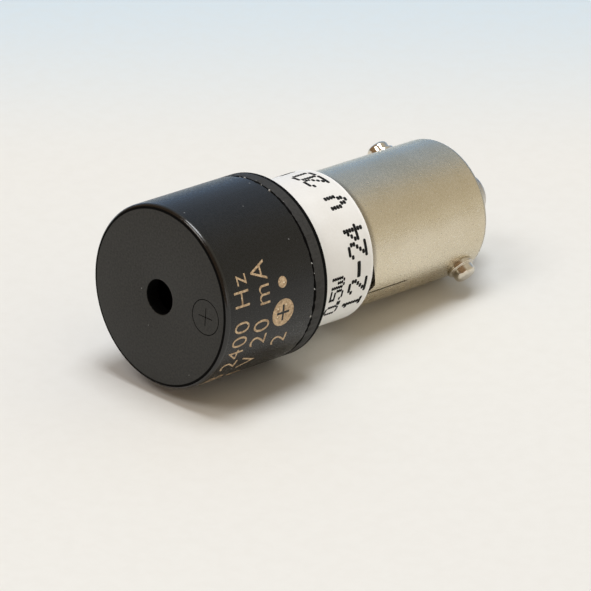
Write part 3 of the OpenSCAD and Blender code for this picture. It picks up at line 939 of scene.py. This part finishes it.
pinSet = {
    "radius": 0.75, "end": 5.45, "endRound": 0.3,
    "collarRadius": 0.95, "collarEnd": 4.81, "collarRound": 0.07,
    "neckRound": 0.04, "tenonRadius": 0.55, "head": 0.45, "headRound": 0.06, "film": 0.01,
}
polishedNickel = makeFinish("polishedNickel", {
    "grain": 4.0, "drift": 1.2, "deep": (0.66, 0.6, 0.5), "pale": (0.76, 0.72, 0.64),
    "layers": ((rubbedLines(across=16.0, length=2.0), 0.4, (0.42, 0.32, 0.2)),),
    "rough": (0.1, 0.2), "metallic": 1.0, "bump": 0.006,
})


def sagAcross(across):
    # how far the shell's curve falls away to one side
    return shellRadius - math.sqrt(shellRadius ** 2 - across ** 2)


def buildPin(pin, name):
    # turned pin: a rivet head inside the shell, a tenon through it, a collar and the round end outside
    root, way = pinPlace(pin)
    bore = shellRadius - shellSet["wall"]
    collar = pinSet["collarRadius"]
    seatEnd = bore - pinSet["film"] - sagAcross(collar)
    foot = shellRadius + pinSet["film"]
    path = rounded([
        (bore - pinSet["head"], 0, 0),
        (bore - pinSet["head"], collar, pinSet["headRound"]),
        (seatEnd, collar, 0),
        (seatEnd, pinSet["tenonRadius"], 0),
        (foot, pinSet["tenonRadius"], 0),
        (foot, collar, 0),
        (pinSet["collarEnd"], collar, pinSet["collarRound"]),
        (pinSet["collarEnd"], pinSet["radius"], pinSet["neckRound"]),
        (pinSet["end"], pinSet["radius"], pinSet["endRound"]),
        (pinSet["end"], 0, 0),
    ], steps=8)
    mesh = revolve(path, segments=96)
    place = Matrix.Translation((0, 0, root.z)) @ pointAlong(way)
    bmesh.ops.transform(mesh, verts=mesh.verts, matrix=place)
    # the collar's foot follows the shell's curve
    for vertex in mesh.verts:
        reach = vertex.co.x * way.x + vertex.co.y * way.y
        if abs(reach - foot) < hair:
            across = math.hypot(vertex.co.x - reach * way.x, vertex.co.y - reach * way.y)
            vertex.co -= way * sagAcross(across)
    seat(makePiece(name, mesh, [polishedNickel], sharpAngle=50), "polished_nickel", pin)


buildPin("near_pin", "bayonet_pin_near")
buildPin("far_pin", "bayonet_pin_far")
print("pins done")


# Centre contact: a solder button that set slightly uneven

contactSet = {"edge": 0.5, "sink": 0.035, "pitch": 0.9, "foot": 0.08}
solderMetal = makeFinish("solderMetal", {
    "grain": 3.5, "drift": 0.8, "deep": (0.5, 0.48, 0.45), "pale": (0.64, 0.62, 0.58),
    "layers": ((scattered(scale=3.0, size=0.09, share=0.2), 0.5, (0.3, 0.3, 0.32)),),
    "rough": (0.26, 0.42), "metallic": 1.0, "bump": 0.02,
})


def uneven(along, out, turn):
    spot = onAxis(along, out, turn) / contactSet["pitch"]
    return along, out * (1 - contactSet["sink"] * (1 + noise.noise(spot)) / 2)


def buildContact():
    start, end, _, radius = measure("contact_button")
    path = rounded([
        (start, 0, 0),
        (start, radius, contactSet["foot"]),
        (end, radius, contactSet["edge"]),
        (end, 0, 0),
    ], steps=10)
    mesh = revolve(path, segments=128, shape=uneven)
    seat(makePiece("solder_button", mesh, [solderMetal], sharpAngle=60), "solder", "contact_button")


buildContact()
print("contact done")


# Finishes of the CAD pieces that stay as they are

coilSet = {"turnRate": 42.0}  # radians of winding for each millimetre along the axis
dropperSet = {
    "bandFade": 0.3, "bandHalf": 0.24,
    # each band's place along the body and its colour
    "bands": (
        (0.22, (0.3, 0.12, 0.04)),
        (0.38, (0.02, 0.02, 0.02)),
        (0.52, (0.5, 0.03, 0.02)),
        (0.78, (0.5, 0.36, 0.1)),
    ),
}
plainSet = {"lineStretch": 12, "lineMix": 0.3, "roughSpread": 0.07}
plainLooks = {
    "steelSheet": {
        "deep": (0.42, 0.43, 0.45), "pale": (0.55, 0.56, 0.58), "mark": (0.3, 0.3, 0.31),
        "grain": 6.0, "drift": 0.8, "roughMid": 0.35, "metallic": 1.0, "bump": 0.006,
    },
    "ferrite": {
        "deep": (0.03, 0.03, 0.033), "pale": (0.06, 0.06, 0.064), "mark": (0.09, 0.09, 0.09),
        "grain": 8.0, "drift": 1.2, "roughMid": 0.7, "bump": 0.02,
    },
    "circuitBoard": {
        "deep": (0.018, 0.1, 0.035), "pale": (0.03, 0.15, 0.06), "mark": (0.05, 0.2, 0.09),
        "grain": 5.0, "drift": 1.5, "roughMid": 0.35, "bump": 0.008,
    },
    "mouldedEpoxy": {
        "deep": (0.012, 0.012, 0.013), "pale": (0.024, 0.024, 0.026), "mark": (0.04, 0.04, 0.04),
        "grain": 9.0, "drift": 1.4, "roughMid": 0.55, "bump": 0.012,
    },
    "firedCeramic": {
        "deep": (0.34, 0.19, 0.085), "pale": (0.43, 0.26, 0.12), "mark": (0.5, 0.33, 0.18),
        "grain": 7.0, "drift": 1.2, "roughMid": 0.6, "bump": 0.012,
    },
    "tinnedWire": {
        "deep": (0.54, 0.55, 0.56), "pale": (0.68, 0.69, 0.7), "mark": (0.4, 0.4, 0.4),
        "grain": 6.0, "drift": 1.0, "roughMid": 0.28, "metallic": 1.0, "bump": 0.006,
    },
    "plainBrass": {
        "deep": (0.6, 0.43, 0.18), "pale": (0.74, 0.57, 0.29), "mark": (0.42, 0.28, 0.11),
        "grain": 5.0, "drift": 0.9, "roughMid": 0.3, "metallic": 1.0, "bump": 0.006,
    },
    "holderPlastic": {
        "deep": (0.008, 0.008, 0.008), "pale": (0.014, 0.014, 0.014), "mark": (0.02, 0.02, 0.02),
        "grain": 6.0, "drift": 0.7, "roughMid": 0.6, "bump": 0.012,
    },
}


def plainFinish(name, look):
    # a two-tone surface with faint rubbed lines, whose roughness varies about a middle value
    lines = rubbedLines(across=look["grain"], length=look["grain"] / plainSet["lineStretch"])
    spread = plainSet["roughSpread"]
    layers = ((lines, plainSet["lineMix"], look["mark"]),)
    rough = (look["roughMid"] - spread, look["roughMid"] + spread)
    return makeFinish(name, {**look, "layers": layers, "rough": rough})


def wireTurns(tree, place, grain):
    # the winding's turns show as fine bands along the axis
    angle = maths(tree, "MULTIPLY", place["Along"], coilSet["turnRate"])
    return maths(tree, "ABSOLUTE", maths(tree, "SINE", angle))


# painted shade in the grooves between the winding's turns
def shadeBetweenTurns(tree, place, grain):
    return maths(tree, "SUBTRACT", 1.0, wireTurns(tree, place, grain))


def colourBand(share):
    start, end = measure("dropper_resistor")[:2]
    middle = start + share * (end - start)

    def mask(tree, place, grain):
        away = maths(tree, "ABSOLUTE", maths(tree, "SUBTRACT", place["Along"], middle))
        return ramp(tree, away, dropperSet["bandFade"], dropperSet["bandHalf"])
    return mask


finishes = {name: plainFinish(name, look) for name, look in plainLooks.items()}
finishes["blackGlass"] = makeFinish("blackGlass", {
    "grain": 2.5, "drift": 0.7, "deep": (0.008, 0.008, 0.01), "pale": (0.016, 0.016, 0.019),
    "layers": ((scattered(scale=2.4, size=0.06, share=0.15), 0.4, (0.12, 0.12, 0.12)),),
    "rough": (0.12, 0.26), "bump": 0.02,
})
finishes["copperWinding"] = makeFinish("copperWinding", {
    "grain": 4.0, "drift": 0.8, "deep": (0.48, 0.17, 0.06), "pale": (0.62, 0.27, 0.11),
    "layers": ((shadeBetweenTurns, 1.0, (0.12, 0.04, 0.015)),),
    "rough": (0.26, 0.4), "metallic": 0.9, "relief": wireTurns, "bump": 0.03,
})
finishes["resistorLacquer"] = makeFinish("resistorLacquer", {
    "grain": 4.0, "drift": 0.8, "deep": (0.5, 0.38, 0.21), "pale": (0.58, 0.45, 0.28),
    "layers": [(colourBand(share), 1.0, colour) for share, colour in dropperSet["bands"]],
    "rough": (0.35, 0.5), "bump": 0.01,
})
slotFinish = {
    "steel": "steelSheet", "ferrite": "ferrite", "circuit_board": "circuitBoard", "chip_body": "mouldedEpoxy",
    "capacitor_body": "firedCeramic", "tinned_wire": "tinnedWire", "contact_brass": "plainBrass",
    "holder_plastic": "holderPlastic", "black_glass": "blackGlass", "copper_wire": "copperWinding",
    "resistor_body": "resistorLacquer",
}
for shown in frame["nodes"].values():
    if shown.hide_render:
        continue
    for materialSlot in shown.material_slots:
        materialSlot.material = finishes[slotFinish[materialSlot.material.name.split(".")[0]]]
print("CAD finishes done")


# Floor, lamps, sky and camera

floorSet = {
    "size": 3.0, "cells": 8, "rough": 0.85, "specular": 0.1,
    # the floor's colour turns cooler towards the back
    "near": (0.82, 0.825, 0.805), "far": (0.635, 0.76, 0.86), "fadeStart": 0.022, "fadeEnd": 0.062,
    "mottleScale": 900.0, "mottleDetail": 4.0, "mottleRough": 0.6, "mottleLow": 0.3, "mottleHigh": 0.75,
    "mottleMix": 0.12, "mottle": (0.7, 0.69, 0.65),
}
skySet = {
    "warmLow": (0.76, 0.71, 0.6), "warmHigh": (0.6, 0.545, 0.44), "lowRise": 0.05, "highRise": 0.4,
    "coolLow": (0.36, 0.54, 0.82), "coolHigh": (0.39, 0.46, 0.56),
    "coolWay": (-0.66, 0.72, 0.2), "coolStart": 0.4, "coolFull": 0.92,
    "front": (0.28, 0.18, 0.1), "rearWay": (0.1, 0.98, 0.15), "rearStart": -0.3, "rearFull": 0.4,
    "strength": 1.0,
}
lampDistance = 0.5
lampSet = {
    "keyLamp": {"way": (-0.08, -0.56, 0.82), "size": 0.22, "power": 0.5, "colour": (1, 0.98, 0.95)},
    "topLamp": {"way": (0.0, 0.06, 1.0), "size": 0.24, "power": 1.36, "colour": (0.955, 0.99, 1.035)},
    "fillLamp": {"way": (0.95, -0.25, 0.09), "size": 0.3, "power": 0.17, "colour": (0.96, 0.98, 1)},
}
cameraSet = {
    "lens": 337.164, "sensor": 36.0, "azimuth": 44.582, "elevation": 26.131, "clipStart": 0.01,
    # where the sound face's centre lies from the camera: to its right, below and ahead, in millimetres
    "faceRight": -8.519, "faceBelow": 0.096, "faceAhead": 346.521,
}


def buildFloor():
    mesh = bmesh.new()
    bmesh.ops.create_grid(
        mesh, x_segments=floorSet["cells"], y_segments=floorSet["cells"], size=floorSet["size"] / 2)
    data = bpy.data.meshes.new("studio_floor")
    mesh.to_mesh(data)
    mesh.free()
    floor = bpy.data.objects.new("studio_floor", data)
    scene.collection.objects.link(floor)
    paper = bpy.data.materials.new("floorPaper")
    paper.use_nodes = True
    tree = paper.node_tree
    shader = tree.nodes["Principled BSDF"]
    spot = addNode(tree, "ShaderNodeTexCoord").outputs["Object"]
    turn = math.radians(cameraSet["azimuth"])
    depth = dotWith(tree, spot, (-math.sin(turn), math.cos(turn), 0))
    fade = ramp(tree, depth, floorSet["fadeStart"], floorSet["fadeEnd"])
    mottle = grainNoise(
        tree, spot, floorSet["mottleScale"], floorSet["mottleDetail"], floorSet["mottleRough"])
    share = ramp(tree, mottle, floorSet["mottleLow"], floorSet["mottleHigh"], toHigh=floorSet["mottleMix"])
    tone = blend(tree, share, blend(tree, fade, floorSet["near"], floorSet["far"]), floorSet["mottle"])
    tree.links.new(tone, shader.inputs["Base Color"])
    shader.inputs["Roughness"].default_value = floorSet["rough"]
    shader.inputs["Specular IOR Level"].default_value = floorSet["specular"]
    data.materials.append(paper)


def buildLamp(name, settings):
    lamp = bpy.data.lights.new(name, "AREA")
    lamp.shape = "DISK"
    lamp.size = settings["size"]
    lamp.energy = settings["power"]
    lamp.color = settings["colour"]
    holder = bpy.data.objects.new(name, lamp)
    way = Vector(settings["way"]).normalized()
    holder.location = way * lampDistance
    holder.rotation_mode = "QUATERNION"
    holder.rotation_quaternion = (-way).to_track_quat("-Z", "Y")
    scene.collection.objects.link(holder)


def buildSky():
    # warm to the right, cool low down behind and dimmer in front
    world = bpy.data.worlds.new("studio")
    world.use_nodes = True
    scene.world = world
    tree = world.node_tree
    tree.nodes.clear()
    way = addNode(tree, "ShaderNodeTexCoord").outputs["Generated"]
    rise = addNode(tree, "ShaderNodeSeparateXYZ", Vector=way).outputs[2]
    low = ramp(tree, rise, skySet["highRise"], skySet["lowRise"])
    warm = blend(tree, low, skySet["warmHigh"], skySet["warmLow"])
    cool = blend(tree, low, skySet["coolHigh"], skySet["coolLow"])
    toCool = dotWith(tree, way, Vector(skySet["coolWay"]).normalized())
    tone = blend(tree, ramp(tree, toCool, skySet["coolStart"], skySet["coolFull"]), warm, cool)
    toRear = dotWith(tree, way, Vector(skySet["rearWay"]).normalized())
    tone = blend(tree, ramp(tree, toRear, skySet["rearStart"], skySet["rearFull"]), skySet["front"], tone)
    lit = addNode(tree, "ShaderNodeBackground", Color=tone, Strength=skySet["strength"])
    leave = addNode(tree, "ShaderNodeOutputWorld")
    tree.links.new(lit.outputs[0], leave.inputs["Surface"])


def buildCamera():
    turn = math.radians(cameraSet["azimuth"])
    rise = math.radians(cameraSet["elevation"])
    right = Vector((math.cos(turn), math.sin(turn), 0))
    back = Vector((math.sin(turn) * math.cos(rise), -math.cos(turn) * math.cos(rise), math.sin(rise)))
    above = back.cross(right)
    data = bpy.data.cameras.new("photoCamera")
    data.lens = cameraSet["lens"]
    data.sensor_width = cameraSet["sensor"]
    data.clip_start = cameraSet["clipStart"]
    camera = bpy.data.objects.new("photoCamera", data)
    camera.location = faceCentre + (
        back * cameraSet["faceAhead"] - right * cameraSet["faceRight"] + above * cameraSet["faceBelow"]) * mm
    camera.rotation_mode = "QUATERNION"
    camera.rotation_quaternion = Matrix((right, above, back)).transposed().to_quaternion()
    scene.collection.objects.link(camera)
    scene.camera = camera


buildFloor()
for lampName, lampSettings in lampSet.items():
    buildLamp(lampName, lampSettings)
buildSky()
buildCamera()
scene.view_settings.view_transform = "Standard"
print("stage done")
